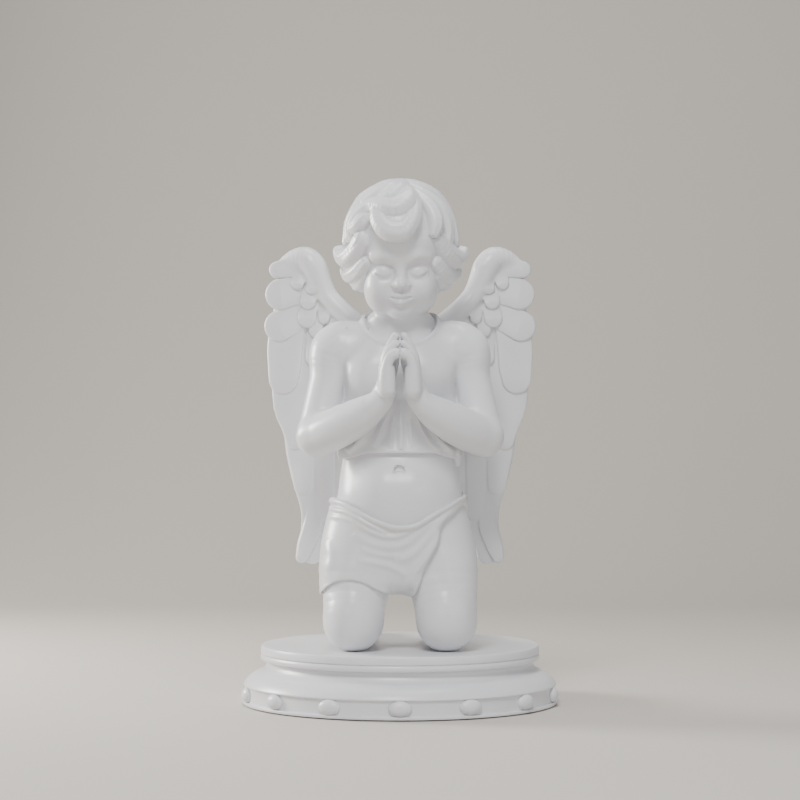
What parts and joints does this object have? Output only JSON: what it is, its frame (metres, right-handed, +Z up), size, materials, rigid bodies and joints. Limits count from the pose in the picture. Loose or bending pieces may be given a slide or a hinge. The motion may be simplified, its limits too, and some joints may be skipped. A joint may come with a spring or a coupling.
{
  "type": "kneeling praying angel figurine",
  "caption": "White cast-resin child angel with feathered wings, kneeling in prayer in a cropped tunic and loincloth on a round moulded plinth with oval studs.",
  "frame": {"origin": "centre of the plinth's underside, on the face of the felt pad that it rests on", "axes": "+Z up through the crown of the head, the figure faces -Y, and its own left side is +X"},
  "size_m": [0.144, 0.1472, 0.2379],
  "materials": {
    "cast_resin": "cast and painted cool white, satin",
    "felt": "pressed wool felt",
    "steel": "zinc plated and drawn"
  },
  "bodies": {
    "root": {"felt_pad": "felt", "plinth_base": "cast_resin", "plinth_cap": "cast_resin", "rim_studs": "cast_resin", "base_screws": "steel", "base_washers": "steel", "leg_right": "cast_resin", "leg_left": "cast_resin", "loincloth": "cast_resin", "abdomen": "cast_resin", "tunic_chest": "cast_resin", "arm_right": "cast_resin", "arm_left": "cast_resin", "hand_right": "cast_resin", "hand_left": "cast_resin", "head": "cast_resin", "hair": "cast_resin", "wing_right": "cast_resin", "wing_left": "cast_resin", "waist_dowels": "steel", "hip_dowel": "steel", "shoulder_dowels": "steel", "neck_dowel": "steel", "wing_dowels": "steel", "wrist_dowels": "steel"}
  },
  "joints": []
}
